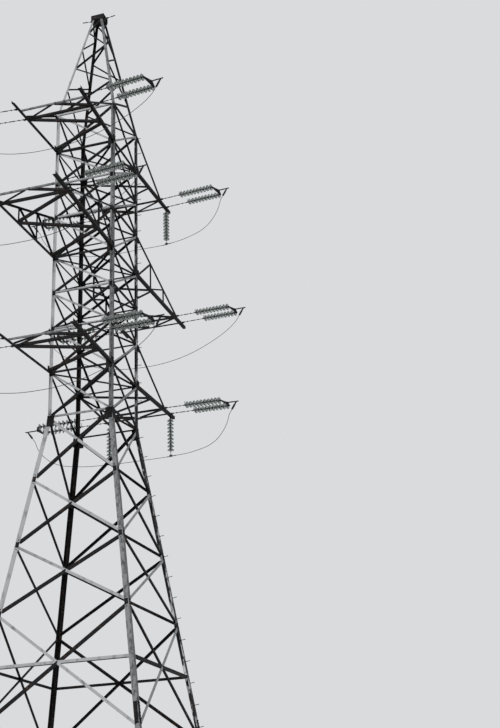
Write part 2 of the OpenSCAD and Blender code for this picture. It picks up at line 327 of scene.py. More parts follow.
@dataclass(frozen=True)
class SteelFinish:
    """Hot-dip galvanised angle steel that has stood outside for decades: dull grey, patched and rusting.

    The zinc has lost its spangle and reads as a matt grey, darker where dirt clings and brown with rust.
    Each copy's zinc and grime tones also paint light: pale copies paint sunlight, the near-black copy paints
    shade.
    """

    name: str
    zinc: str
    grime_and_shade: str
    rust: str = "#4A3428"
    rust_share: float = 0.10
    rust_from: float = 0.66
    rust_to: float = 0.74
    rust_most: float = 0.8
    grime_and_shade_from: float = 0.44
    grime_and_shade_to: float = 0.70
    patch_scale: float = 7.0
    metallic: float = 0.3
    roughness: float = 0.66
    rusty_roughness: float = 0.9
    specular: float = 0.3

    def build(self) -> bpy.types.Material:
        """Build the material.

        Returns:
            The finished material.
        """
        material, tree, shader = new_shader(self.name)
        place = add_node(tree, "ShaderNodeTexCoord").outputs["Object"]
        # Patches of grime, which on the mottled leg are painted shade, patch_scale to the metre, so 70 to 200
        # mm wide, drawn out down the bars
        stretch = add_node(tree, "ShaderNodeMapping", {"Vector": place, "Scale": (1.0, 1.0, 0.45)})
        cells = {"Vector": stretch, "Scale": self.patch_scale, "Detail": 6.0, "Roughness": 0.62}
        patches = add_node(tree, NOISE, cells)
        limits = {"Value": patches, "From Min": self.grime_and_shade_from, "From Max": self.grime_and_shade_to}
        grime_and_shade = add_node(tree, RANGE, limits)
        tones = {FACTOR: grime_and_shade, FIRST: linear(self.zinc), SECOND: linear(self.grime_and_shade)}
        base = add_node(tree, MIX, tones, data_type="RGBA")
        # Rust blooms two or three centimetres wide, the peaks of a noise of 62 mm cells
        blooms = add_node(tree, NOISE, {"Vector": place, "Scale": 16.0, "Detail": 8.0, "Roughness": 0.7})
        limits = {
            "Value": blooms,
            "From Min": self.rust_from - self.rust_share,
            "From Max": self.rust_to - self.rust_share,
            "To Max": self.rust_most,
        }
        rust = add_node(tree, RANGE, limits)
        tones = {FACTOR: rust, FIRST: base.outputs[MIXED], SECOND: linear(self.rust)}
        colour = add_node(tree, MIX, tones, data_type="RGBA")
        limits = {
            "Value": rust,
            "From Max": self.rust_most,
            "To Min": self.roughness,
            "To Max": self.rusty_roughness,
        }
        rough = add_node(tree, RANGE, limits)
        # A grainy zinc skin, drawn at 6 mm so that it shows
        grain = add_node(tree, NOISE, {"Vector": place, "Scale": 160.0, "Detail": 3.0})
        bump = add_node(tree, BUMP, {"Height": grain, "Strength": 0.25, "Distance": 0.001})
        surface = {"Base Color": colour.outputs[MIXED], "Roughness": rough, "Normal": bump}
        feed(tree, shader, surface | {"Metallic": self.metallic, "Specular IOR Level": self.specular})
        return material


@dataclass(frozen=True)
class ToughenedGlass:
    """Pressed toughened glass, pale green, with a thin film of road and farm dirt.

    It lets the sky through, so a string of discs reads as light rings on the dark line of its iron caps.
    """

    name: str = "toughened_glass"
    clean: str = "#AEB8B2"
    dirty: str = "#4E534E"
    film_from: float = 0.42
    film_to: float = 0.72
    clean_roughness: float = 0.08
    dirty_roughness: float = 0.45
    transmission: float = 0.85
    ior: float = 1.52

    def build(self) -> bpy.types.Material:
        """Build the material.

        Returns:
            The finished material.
        """
        material, tree, shader = new_shader(self.name)
        place = add_node(tree, "ShaderNodeTexCoord").outputs["Object"]
        # Dirt in blotches about 4 cm wide
        film = add_node(tree, NOISE, {"Vector": place, "Scale": 24.0, "Detail": 4.0, "Roughness": 0.6})
        share = add_node(tree, RANGE, {"Value": film, "From Min": self.film_from, "From Max": self.film_to})
        tones = {FACTOR: share, FIRST: linear(self.clean), SECOND: linear(self.dirty)}
        colour = add_node(tree, MIX, tones, data_type="RGBA")
        limits = {"Value": share, "To Min": self.clean_roughness, "To Max": self.dirty_roughness}
        rough = add_node(tree, RANGE, limits)
        surface = {"Base Color": colour.outputs[MIXED], "Roughness": rough}
        feed(tree, shader, surface | {"Transmission Weight": self.transmission, "IOR": self.ior})
        return material


@dataclass(frozen=True)
class ForgedIron:
    """Galvanised malleable iron and forged steel of caps, shackles and clamps: rough and nearly black."""

    name: str = "forged_iron"
    skin: str = "#101112"
    worn: str = "#2C2C2C"
    worn_from: float = 0.55
    worn_to: float = 0.75
    roughness: float = 0.6
    metallic: float = 0.2
    specular: float = 0.25

    def build(self) -> bpy.types.Material:
        """Build the material.

        Returns:
            The finished material.
        """
        material, tree, shader = new_shader(self.name)
        place = add_node(tree, "ShaderNodeTexCoord").outputs["Object"]
        # Cast skin with pits of about 5 mm, and wear in patches of 3 cm
        wear = add_node(tree, NOISE, {"Vector": place, "Scale": 33.0, "Detail": 5.0})
        share = add_node(tree, RANGE, {"Value": wear, "From Min": self.worn_from, "From Max": self.worn_to})
        tones = {FACTOR: share, FIRST: linear(self.skin), SECOND: linear(self.worn)}
        colour = add_node(tree, MIX, tones, data_type="RGBA")
        pits = add_node(tree, NOISE, {"Vector": place, "Scale": 200.0, "Detail": 2.0})
        bump = add_node(tree, BUMP, {"Height": pits, "Strength": 0.3, "Distance": 0.001})
        surface = {"Base Color": colour.outputs[MIXED], "Roughness": self.roughness, "Normal": bump}
        feed(tree, shader, surface | {"Metallic": self.metallic, "Specular IOR Level": self.specular})
        return material


@dataclass(frozen=True)
class StrandedAluminium:
    """Bare stranded aluminium gone dull and dark: its outer wires wind round it in a slow spiral, with
    painted shade in the grooves between them.
    """

    name: str = "stranded_aluminium"
    wire: str = "#2E2F31"
    painted_groove_shade: str = "#101112"
    wires: float = 12.0
    turns: float = 45.0
    painted_groove_shade_top: float = -0.4
    roughness: float = 0.5
    metallic: float = 0.7

    def build(self) -> bpy.types.Material:
        """Build the material.

        Returns:
            The finished material.
        """
        material, tree, shader = new_shader(self.name)
        along = add_node(tree, "ShaderNodeTexCoord").outputs["UV"]
        # One turn of the spiral takes about 140 mm of the cord's 6.4 m
        lay = {0: along, 1: (self.wires * self.turns, self.wires, 0.0)}
        spiral = add_node(tree, "ShaderNodeVectorMath", lay, operation="DOT_PRODUCT")
        turning = {0: spiral.outputs["Value"], 1: math.tau}
        phase = add_node(tree, "ShaderNodeMath", turning, operation="MULTIPLY")
        ridge = add_node(tree, "ShaderNodeMath", {0: phase}, operation="SINE")
        # Painted shade: the troughs of the spiral between the wires take the darker colour
        limits = {"Value": ridge, "From Min": -1.0, "From Max": self.painted_groove_shade_top, "To Min": 1.0, "To Max": 0.0}
        share = add_node(tree, RANGE, limits)
        tones = {FACTOR: share, FIRST: linear(self.wire), SECOND: linear(self.painted_groove_shade)}
        colour = add_node(tree, MIX, tones, data_type="RGBA")
        bump = add_node(tree, BUMP, {"Height": ridge, "Strength": 0.4, "Distance": 0.001})
        surface = {"Base Color": colour.outputs[MIXED], "Roughness": self.roughness, "Normal": bump}
        feed(tree, shader, surface | {"Metallic": self.metallic})
        return material


@dataclass(frozen=True)
class StudioPaint:
    """Matt pale paint of the studio floor."""

    name: str = "studio_floor"
    colour: str = "#D9DADC"
    roughness: float = 0.9

    def build(self) -> bpy.types.Material:
        """Build the material.

        Returns:
            The finished material.
        """
        material, tree, shader = new_shader(self.name)
        feed(tree, shader, {"Base Color": linear(self.colour), "Roughness": self.roughness})
        return material


class Finishes:
    """Every material of the tower, made once."""

    def __init__(self) -> None:
        """Build the materials."""
        # Palest: a lit copy of the weathered zinc, its grey raised to paint sunlight on the back left leg and
        # the pale bars
        self.palest = SteelFinish(
            "palest_weathered_zinc", "#8C8D8E", "#606162", rust_share=0.03, grime_and_shade_from=0.52, specular=0.4
        ).build()
        # Pale: a lit copy of the weathered zinc, its grey raised to paint sunlight on the front left leg, the
        # peak's front left leg and the left horn ties
        self.pale = SteelFinish(
            "pale_weathered_zinc",
            "#6E6F70",
            "#3E3F40",
            rust_share=0.05,
            grime_and_shade_from=0.47,
            grime_and_shade_to=0.62,
            patch_scale=15.0,
        ).build()
        # Mottled: pale patches paint sunlight and the near-black grime colour paints shade on the front right
        # leg
        self.mottled = SteelFinish(
            "mottled_weathered_zinc", "#B4B5B6", "#141516", grime_and_shade_from=0.40, grime_and_shade_to=0.47, patch_scale=5.0
        ).build()
        # Near-black: the weathered steel darkened to paint shade on bracing, arms, plates and bolts; its
        # grime and rust patches are real
        self.dark = SteelFinish(
            "dark_weathered_steel", "#0F1011", "#070708", metallic=0.0, specular=0.12
        ).build()
        self.iron = ForgedIron().build()
        self.glass = ToughenedGlass().build()
        self.strands = StrandedAluminium().build()


def deselect() -> None:
    """Leave nothing selected."""
    bpy.ops.object.select_all(action="DESELECT")


def select_only(piece: bpy.types.Object) -> None:
    """Select one object and make it the active one."""
    deselect()
    piece.select_set(True)
    bpy.context.view_layer.objects.active = piece


def linked(thing: bpy.types.Object) -> bpy.types.Object:
    """Put a new object into the scene."""
    bpy.context.scene.collection.objects.link(thing)
    return thing


def settle(name: str) -> bpy.types.Object:
    """Put the place of the primitive that was just added into its mesh, and name it.

    Args:
        name: its new name.

    Returns:
        The object, at the origin, unturned and unscaled.
    """
    piece = bpy.context.active_object
    select_only(piece)
    bpy.ops.object.transform_apply(location=True, rotation=True, scale=True)
    piece.name = name
    return piece


@contextmanager
def editing(
    piece: bpy.types.Object, mode: Pick = Pick.FACE, wanted: Callable[[Vector], bool] | None = None
) -> Iterator[None]:
    """Edit one mesh, with all of it selected or only what is wanted.

    Args:
        piece: the mesh object.
        mode: whether edges or faces are selected.
        wanted: tells of the middle of an edge or face whether it is wanted.

    Yields:
        Nothing, in edit mode.
    """
    select_only(piece)
    bpy.ops.object.mode_set(mode="EDIT")
    bpy.ops.mesh.select_mode(type=mode.value)
    bpy.ops.mesh.select_all(action="DESELECT" if wanted else "SELECT")
    if wanted:
        bpy.ops.object.mode_set(mode="OBJECT")
        points = piece.data.vertices
        if mode is Pick.FACE:
            for face in piece.data.polygons:
                face.select = wanted(face.center)
        else:
            for edge in piece.data.edges:
                start, end = (points[index].co for index in edge.vertices)
                edge.select = wanted((start + end) / 2)
        bpy.ops.object.mode_set(mode="EDIT")
    yield
    bpy.ops.object.mode_set(mode="OBJECT")


def extrude(x: float = 0.0, y: float = 0.0, z: float = 0.0) -> None:
    """Extrude what is selected by a move."""
    bpy.ops.mesh.extrude_region_move(TRANSFORM_OT_translate={"value": (x, y, z)})


def resize(factors: Triple, centre: Triple) -> None:
    """Resize what is selected about a point."""
    bpy.ops.transform.resize(value=factors, center_override=centre)


def face_out() -> None:
    """Point every face of the closed mesh in edit mode outwards."""
    bpy.ops.mesh.select_all(action="SELECT")
    bpy.ops.mesh.normals_make_consistent(inside=False)


def turned(name: str, outline: Outline, sides: int) -> bpy.types.Object:
    """Model a turned solid along +Z by drawing a disc out ring by ring.

    Args:
        name: the object's name.
        outline: radius and height of each ring, from the first end to the last.
        sides: number of flats round it.

    Returns:
        The closed solid.
    """
    deselect()
    radius, height = outline[0]
    bpy.ops.mesh.primitive_circle_add(
        vertices=sides, radius=radius, fill_type="NGON", location=(0.0, 0.0, height)
    )
    piece = settle(name)
    with editing(piece):
        for new_radius, new_height in outline[1:]:
            extrude(z=new_height - height)
            grow = new_radius / radius
            resize((grow, grow, 1.0), (0.0, 0.0, new_height))
            radius, height = new_radius, new_height
        face_out()
    return piece


def block(name: str, size: Triple, centre: Triple) -> bpy.types.Object:
    """Start a plate or block with sharp edges.

    Args:
        name: the object's name.
        size: its three sizes.
        centre: its middle.

    Returns:
        The block.
    """
    deselect()
    bpy.ops.mesh.primitive_cube_add(size=1.0, location=centre, scale=size)
    return settle(name)


def bevelled(piece: bpy.types.Object, width: float) -> bpy.types.Object:
    """Bevel every edge of a mesh.

    Args:
        piece: the object.
        width: the bevel's width.

    Returns:
        The same object.
    """
    with editing(piece):
        bpy.ops.mesh.bevel(offset=width, segments=1, affect="EDGES")
    return piece


def slab(name: str, size: Triple, centre: Triple, bevel: float) -> bpy.types.Object:
    """Model a plate or block with broken edges: block's arguments, and the width of those edges."""
    return bevelled(block(name, size, centre), bevel)


def moved(piece: bpy.types.Object, place: Matrix) -> bpy.types.Object:
    """Move a piece within its mesh.

    Args:
        piece: the object.
        place: where it goes.

    Returns:
        The same object, its faces still pointing outwards.
    """
    piece.data.transform(place)
    if place.determinant() < 0:
        piece.data.flip_normals()
    return piece


def placed(pattern: bpy.types.Object, place: Matrix) -> bpy.types.Object:
    """Copy a pattern to a place.

    Args:
        pattern: the object to copy.
        place: where the copy goes.

    Returns:
        The copy, with a mesh of its own and its place in it.
    """
    copy = pattern.copy()
    copy.data = pattern.data.copy()
    return linked(moved(copy, place))


def joined(pieces: Iterable[bpy.types.Object], name: str) -> bpy.types.Object:
    """Join objects into one.

    Args:
        pieces: the objects.
        name: the joined object's name.

    Returns:
        The joined object.
    """
    members = list(pieces)
    select_only(members[0])
    for member in members[1:]:
        member.select_set(True)
    if len(members) > 1:
        bpy.ops.object.join()
    members[0].name = name
    return members[0]


def copies(pattern: bpy.types.Object, places: Iterable[Matrix], name: str) -> bpy.types.Object:
    """Copy a pattern to many places and join the copies."""
    return joined([placed(pattern, place) for place in places], name)


def discard(*patterns: bpy.types.Object) -> None:
    """Remove patterns that have been copied."""
    for pattern in patterns:
        bpy.data.objects.remove(pattern, do_unlink=True)


def dressed(
    piece: bpy.types.Object, material: bpy.types.Material, slot: Slot, *replaced: str
) -> bpy.types.Object:
    """Give a finished piece its material, smooth shading and body.

    Args:
        piece: the piece.
        material: its material.
        slot: the record's slot it stands in; not used.
        *replaced: the CAD nodes that it stands for.

    Returns:
        The same piece.
    """
    if piece.type == "MESH":
        select_only(piece)
        bpy.ops.object.shade_smooth_by_angle(angle=SMOOTH_ANGLE)
    piece.data.materials.clear()
    piece.data.materials.append(material)
    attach(piece, BODY)
    if replaced:
        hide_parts(*replaced)
    log.info("%s: %s", piece.name, material.name)
    return piece


@dataclass
class PhotoCamera:
    """The camera, where the photograph was taken from, for a 500 by 728 frame."""

    place: Triple = (-25.07, -11.12, 0.80)
    yaw: float = 15.63
    pitch: float = 23.53
    roll: float = -2.53
    focal_pixels: float = 1165.0
    frame_height: float = 728.0
    sensor: float = 36.0
    clip: tuple[float, float] = (0.1, 500.0)

    def build(self) -> None:
        """Make the camera and hand it to the scene."""
        yaw, pitch, roll = (math.radians(a) for a in (self.yaw, self.pitch, self.roll))
        forward = Vector((math.cos(yaw) * math.cos(pitch), math.sin(yaw) * math.cos(pitch), math.sin(pitch)))
        level_right = Vector((math.sin(yaw), -math.cos(yaw), 0.0))
        level_up = level_right.cross(forward)
        right = math.cos(roll) * level_right + math.sin(roll) * level_up
        up = -math.sin(roll) * level_right + math.cos(roll) * level_up
        data = bpy.data.cameras.new("photo_camera")
        data.sensor_width = self.sensor
        data.lens = self.focal_pixels / self.frame_height * self.sensor
        data.clip_start, data.clip_end = self.clip
        camera = linked(bpy.data.objects.new("photo_camera", data))
        turn = Matrix((right, up, -forward)).transposed()
        camera.matrix_world = Matrix.Translation(self.place) @ turn.to_4x4()
        bpy.context.scene.camera = camera


@dataclass(frozen=True)
class Sun:
    """A soft sun lamp: its direction from the tower, its strength and its angular size in degrees."""

    name: str
    towards: Triple
    power: float
    spread: float

    def build(self) -> None:
        """Add the lamp."""
        data = bpy.data.lights.new(self.name, "SUN")
        data.energy = self.power
        data.angle = math.radians(self.spread)
        lamp = linked(bpy.data.objects.new(self.name, data))
        lamp.rotation_euler = Vector(self.towards).to_track_quat("Z", "Y").to_euler()


@dataclass
class Studio:
    """The pale floor, the pale surroundings and the soft lights."""

    floor_size: float = 400.0
    floor_height: float = -0.002
    seen: str = "#DADBDD"
    light: str = "#F2F3F5"
    ambient: float = 0.5
    suns: tuple[Sun, ...] = (
        Sun("key_light", (-0.90, -0.04, 0.60), 2.8, 6.0),
        Sun("fill_light", (0.5, -0.8, 0.5), 0.2, 40.0),
    )

    def build(self) -> None:
        """Build the floor, the world and the lamps."""
        deselect()
        bpy.ops.mesh.primitive_plane_add(size=self.floor_size, location=(0.0, 0.0, self.floor_height))
        floor = settle("studio_floor")
        floor.data.materials.append(StudioPaint().build())
        self._world()
        for sun in self.suns:
            sun.build()

    def _world(self) -> None:
        """Light the scene evenly, and show the camera, gloss and glass a pale background."""
        world = bpy.data.worlds.new("pale_surroundings")
        bpy.context.scene.world = world
        world.use_nodes = True
        tree = world.node_tree
        tree.nodes.clear()
        path = add_node(tree, "ShaderNodeLightPath")
        back = add_node(tree, "ShaderNodeBackground", {"Color": linear(self.seen), "Strength": 1.0})
        lit = add_node(tree, "ShaderNodeBackground", {"Color": linear(self.light), "Strength": self.ambient})
        looking = path.outputs["Is Camera Ray"]
        for ray in ("Is Glossy Ray", "Is Transmission Ray"):
            either = {0: looking, 1: path.outputs[ray]}
            looking = add_node(tree, "ShaderNodeMath", either, operation="MAXIMUM")
        mix = add_node(tree, "ShaderNodeMixShader", {0: looking, 1: lit, 2: back})
        add_node(tree, "ShaderNodeOutputWorld", {"Surface": mix})


@dataclass
class Assembly:
    """A group of pieces, with the tower that it belongs to and the finishes that it can have."""

    tower: TowerSizes
    finishes: Finishes


@dataclass(frozen=True)
class Loop:
    """The shape of a jumper: its length, and its centreline from the front terminal to its middle."""

    length: float
    half: tuple[Triple, ...]

    def route(self) -> tuple[Triple, ...]:
        """The whole centreline, whose back half mirrors the front one."""
        return self.half + tuple((x, -y, z) for x, y, z in reversed(self.half[:-1]))


@dataclass
class Jumpers(Assembly):
    """The six bare conductors that hang in a loop from the front terminal of a crossarm to its back one."""

    diameter: float = 0.014
    inset: float = 0.1625
    steps: int = 10
    roundness: int = 4
    free: Loop = Loop(
        6.375,
        (
            (0.000, -2.8835, -0.3585),
            (0.014, -2.816, -0.456),
            (0.032, -2.660, -0.610),
            (0.046, -2.380, -0.810),
            (0.054, -1.950, -1.040),
            (0.058, -1.380, -1.270),
            (0.060, -0.710, -1.420),
            (0.060, 0.0, -1.465),
        ),
    )
    held: Loop = Loop(
        6.797,
        (
            (0.000, -2.8835, -0.3585),
            (0.014, -2.816, -0.456),
            (0.046, -2.730, -0.680),
            (0.120, -2.560, -0.910),
            (0.250, -2.270, -1.100),
            (0.450, -1.790, -1.175),
            (0.732, -0.895, -1.150),
            (0.732, 0.0, -1.158),
        ),
    )

    def build(self) -> None:
        for arm in ARMS:
            loop = self.held if arm.side > 0 and arm.level in HELD_LEVELS else self.free
            origin = Vector((self.tower.lug_start(arm) - self.inset, 0.0, self.tower.seats[arm.level]))
            points = [origin + Vector(point) for point in loop.route()]
            cord = self._cord(f"jumper_cord_{arm.name}", points)
            dressed(cord, self.finishes.strands, Slot.CONDUCTOR, f"jumper_{arm.name}")
            log.info("%s measures %.4f m", cord.name, cord.data.splines[0].calc_length())

    def _cord(self, name: str, points: list[Vector]) -> bpy.types.Object:
        """Lay one smooth round cord through points.

        Args:
            name: the cord's name.
            points: the points of its centreline.

        Returns:
            The curve object.
        """
        curve = bpy.data.curves.new(name, "CURVE")
        curve.dimensions = "3D"
        curve.resolution_u = self.steps
        curve.bevel_depth = self.diameter / 2
        curve.bevel_resolution = self.roundness
        curve.use_fill_caps = True
        spline = curve.splines.new("BEZIER")
        spline.bezier_points.add(len(points) - 1)
        for knot, point in zip(spline.bezier_points, points):
            knot.co = point
            knot.handle_left_type = knot.handle_right_type = "AUTO"
        cord = linked(bpy.data.objects.new(name, curve))
        bpy.context.view_layer.update()
        return cord


@dataclass
class Crossarms(Assembly):
    """The six box crossarms, bar by bar: trusses, tip beam, horns, ties, plan bracing, gussets and lugs."""

    chord: float = 0.080
    chord_t: float = 0.005
    top_chord: float = 0.050
    web_t: float = 0.004
    plan_bar: float = 0.066
    plan_root: float = 0.066
    tip_bar: float = 0.064
    fork_bar: float = 0.060
    fork_end: tuple[float, float] = (0.011, 0.044)
    heel: float = 0.002
    edge: float = 0.001
    deck_sink: float = 0.001
    root_gap: float = 0.006
    horn: float = 0.800
    tie_out: float = 0.400
    apex_out: float = 0.060
    gusset_lap: float = 0.081
    gusset_edge: float = 0.0015
    lug: tuple[float, float] = (0.050, 0.016)
    lug_edge: float = 0.003
    bays: tuple[int, int, int] = (1, 3, 1)

    @property
    def deck(self) -> Matrix:
        """The plane at the foot of an arm's chords, upside down, that its flat bars lie on."""
        return shift(z=self.chord_t - self.deck_sink) @ MIRROR_Z

    def build(self) -> None:
        """Build the arm of each level once, and set it on the right and on the left."""
        dark = self.finishes.dark
        for level, seat in enumerate(self.tower.seats):
            bars, tie = self._bars(level), self._tie(level)
            for arm in ARMS:
                if arm.level != level:
                    continue
                place, tie_finish = shift(z=seat), dark
                # The left arms' ties get the pale finish, painted sunlight; the right ones keep the dark
                # finish, painted shade
                if arm.side < 0:
                    place, tie_finish = place @ MIRROR_X, self.finishes.pale
                for pattern, name, finish in ((bars, "crossarm_bars", dark), (tie, "horn_tie", tie_finish)):
                    piece = copies(pattern, [place], f"{name}_{arm.name}")
                    dressed(piece, finish, Slot.DARK_STEEL, f"crossarm_{arm.name}")
            discard(bars, tie)

    def _strut(
        self,
        plane: Matrix,
        start: tuple[float, float],
        end: tuple[float, float],
        flange: float,
        thick: float,
        top: float = 0.0,
    ) -> bpy.types.Object:
        """Model a steel angle in a plane, its flat flange just below a height and its web below that.

        Args:
            plane: the plane's matrix.
            start: where it starts in the plane.
            end: where it ends.
            flange: width of both flanges.
            thick: their thickness.
            top: height of the flat flange's upper face.

        Returns:
            The angle.
        """
        run = Vector(end) - Vector(start)
        middle = run.length / 2
        flat = slab("flat_flange", (run.length, flange, thick), (middle, 0.0, top - thick / 2), self.edge)
        across = self.heel + (thick - flange) / 2
        size = (run.length - 2 * self.heel, thick, flange)
        web = slab("web_flange", size, (middle, across, top - flange / 2), self.edge)
        place = plane @ shift(*start) @ Matrix.Rotation(math.atan2(run.y, run.x), 4, "Z")
        return moved(joined([flat, web], "angle"), place)

    def _truss(self, level: int) -> list[bpy.types.Object]:
        """Model the front side truss of a right-hand arm, with its gusset plates and lugs.

        Args:
            level: the arm's level.

        Returns:
            The pieces.
        """
        tower, gap = self.tower, self.root_gap
        half, depth, reach, bays = tower.half, tower.arm_depth, tower.reaches[level], self.bays[level]
        splay = tower.arm_splay(level)
        turn = Matrix.Rotation(-math.atan(splay), 4, "Z")
        plane = shift(half, -half - tower.step_out) @ turn @ FORWARD
        along = math.hypot(1.0, splay)
        tip, apex = ((reach + out - half) * along for out in (self.horn, self.apex_out))
        rise = depth - self.top_chord / 2
        slope = (rise - self.chord) / (apex - gap)
        length = tip - gap
        middle = gap + length / 2
        size, centre = (length, self.chord, self.chord_t), (middle, self.chord / 2, self.chord_t / 2)
        upright = slab("chord_upright", size, centre, self.edge)
        size = (length, self.chord_t, self.chord - self.chord_t)
        centre = (middle, self.chord_t / 2, (self.chord_t - self.chord) / 2)
        flat = slab("chord_flat", size, centre, self.edge)
        parts = [moved(joined([upright, flat], "lower_chord"), plane)]
        raised = plane @ shift(y=depth) @ MIRROR_Y
        ends = (gap, depth - rise), (apex, depth - self.chord)
        parts.append(self._strut(raised, *ends, self.top_chord, self.chord_t, self.chord_t))
        bay = (reach - half) * along / bays
        for index in range(1, bays):
            x = bay * index
            foot, head = (x, self.chord / 2), (x, rise - slope * (x - gap))
            inner = (max(x - bay, tower.light), self.chord / 2)
            parts.append(self._strut(plane, foot, head, tower.light, self.web_t))
            parts.append(self._strut(plane, head, inner, tower.light, self.web_t))
        wide, thick, high = tower.gusset
        for z in (high / 2, depth - high / 2):
            centre = (half - self.gusset_lap + wide / 2, -half - thick / 2, z)
            parts.append(slab("gusset", tower.gusset, centre, self.gusset_edge))
        seat = reach - tower.lug_inset[level]
        for x in (seat, seat + tower.string_gap):
            inside = tower.arm_side(level, x) + self.chord_t / 2
            size = (self.lug[0], tower.lug_line - inside, self.lug[1])
            centre = (x, -(tower.lug_line + inside) / 2, tower.lug_height)
            parts.append(slab("lug", size, centre, self.lug_edge))
        return parts

    def _bars(self, level: int) -> bpy.types.Object:
        """Model everything of a right-hand arm but its tie.

        Args:
            level: the arm's level.

        Returns:
            The joined arm at height 0.
        """
        front = joined(self._truss(level), "front_truss")
        back = placed(front, MIRROR_Y)
        reach = self.tower.reaches[level]
        tip = self.tower.arm_side(level, reach)
        ends = (reach, self.chord_t - tip), (reach, tip - self.chord_t)
        parts = [front, back, self._strut(self.deck, *ends, self.tip_bar, self.chord_t)]
        short, aside = self.fork_end
        for side in (-1, 1):
            start = (reach + self.chord / 3, side * (tip - self.chord / 2))
            end = (reach + self.tie_out - short, side * aside)
            parts.append(self._strut(self.deck, start, end, self.fork_bar, self.web_t))
        for (x1, y1), (x2, y2) in pairwise(self._plan_nodes(level)):
            ends = ((x1 - 0.5 * self.plan_bar, y1), (x2 + 0.5 * self.plan_bar, y2))
            start, end = ends if y1 < y2 else ends[::-1]
            parts.append(self._strut(self.deck, start, end, self.plan_bar, self.web_t))
        return joined(parts, "arm_bars")

    def _plan_nodes(self, level: int) -> list[tuple[float, float]]:
        """Find where the plan bars meet the chords, from the tip to the leg at the back.

        Args:
            level: the arm's level.

        Returns:
            The points, in turn on the one and on the other side.
        """
        reach, spans = self.tower.reaches[level], max(self.bays[level], 2)
        root = self.tower.half + self.plan_root
        places = [reach + (root - reach) * index / spans for index in range(spans + 1)]
        places[0] -= self.chord / 3 - self.plan_bar / 2
        return [
            (x, (-1) ** (spans + index) * (self.tower.arm_side(level, x) - self.chord / 2))
            for index, x in enumerate(places)
        ]

    def _tie(self, level: int) -> bpy.types.Object:
        """Model the tie between the horns of a right-hand arm.

        Args:
            level: the arm's level.

        Returns:
            The tie at height 0.
        """
        x = self.tower.reaches[level] + self.tie_out
        half = self.tower.arm_side(level, x) - self.chord_t
        return self._strut(self.deck, (x, -half), (x, half), self.tower.light, self.web_t)


@dataclass(frozen=True)
class DiscString:
    """A line of cap-and-pin discs along +Z: toughened glass shells held between iron caps and pins."""

    count: int
    pitch: float
    shell: Outline = rings((26, 25), (57, 36), (83, 57), (92, 76), (80, 73), (66, 81), (47, 67), (12, 67))
    cap: Outline = rings((14, 0), (26, 4), (34, 14), (37, 34), (20, 42))
    pin: Outline = rings((11, 58), (11, 90), (15, 96), (15, 110.5))

    def glass(self) -> bpy.types.Object:
        """Model all the string's glass shells."""
        return self._repeated(turned("glass_string", self.shell, 14))

    def iron(self) -> bpy.types.Object:
        """Model all the string's caps and pins."""
        return self._repeated(joined([turned("cap", self.cap, 8), turned("pin", self.pin, 6)], "iron_string"))

    def _repeated(self, piece: bpy.types.Object) -> bpy.types.Object:
        """Repeat one disc's piece down the string.

        Args:
            piece: the first disc's piece.

        Returns:
            The same object, with all its copies.
        """
        select_only(piece)
        bpy.ops.object.modifier_add(type="ARRAY")
        array = piece.modifiers[-1]
        array.count = self.count
        array.use_relative_offset = False
        array.use_constant_offset = True
        array.constant_offset_displace = (0.0, 0.0, self.pitch)
        bpy.ops.object.modifier_apply(modifier=array.name)
        return piece


@dataclass(frozen=True)
class Hardware:
    """Bolts and bolted plates that many pieces share, each lying along +Z from its seat."""

    hexagon: Outline = rings((14, 0), (14, 3), (10, 3), (10, 10), (6, 11), (6, 18))
    plate_t: float = 0.006
    plate_edge: float = 0.0015
    plate_bolt: float = 0.85
    margin: float = 0.024

    def bolt(self, size: float = 1.0) -> bpy.types.Object:
        """Model a washer, a nut and a bolt's end, at a scale against a 10 mm bolt."""
        return turned("bolt", tuple((r * size, z * size) for r, z in self.hexagon), 6)

    def _row(self, size: float, count: int) -> list[float]:
        """Space bolts evenly over a plate, the outer ones a margin in from its edges."""
        inner = size - 2 * self.margin
        return [-size / 2 + self.margin + inner * index / (count - 1) for index in range(count)]

    def bolted_plate(self, width: float, height: float, columns: int, rows: int) -> bpy.types.Object:
        """Model a plate in the XY plane with a grid of bolts on it.

        Args:
            width: its size along X.
            height: its size along Y.
            columns: bolts across.
            rows: bolts up.

        Returns:
            The plate with its bolts.
        """
        size, centre = (width, height, self.plate_t), (0.0, 0.0, self.plate_t / 2)
        plate = slab("plate", size, centre, self.plate_edge)
        bolt = self.bolt(self.plate_bolt)
        across, up = self._row(width, columns), self._row(height, rows)
        bolts = copies(bolt, [shift(x, y, self.plate_t) for x in across for y in up], "bolts")
        discard(bolt)
        return joined([plate, bolts], "bolted_plate")


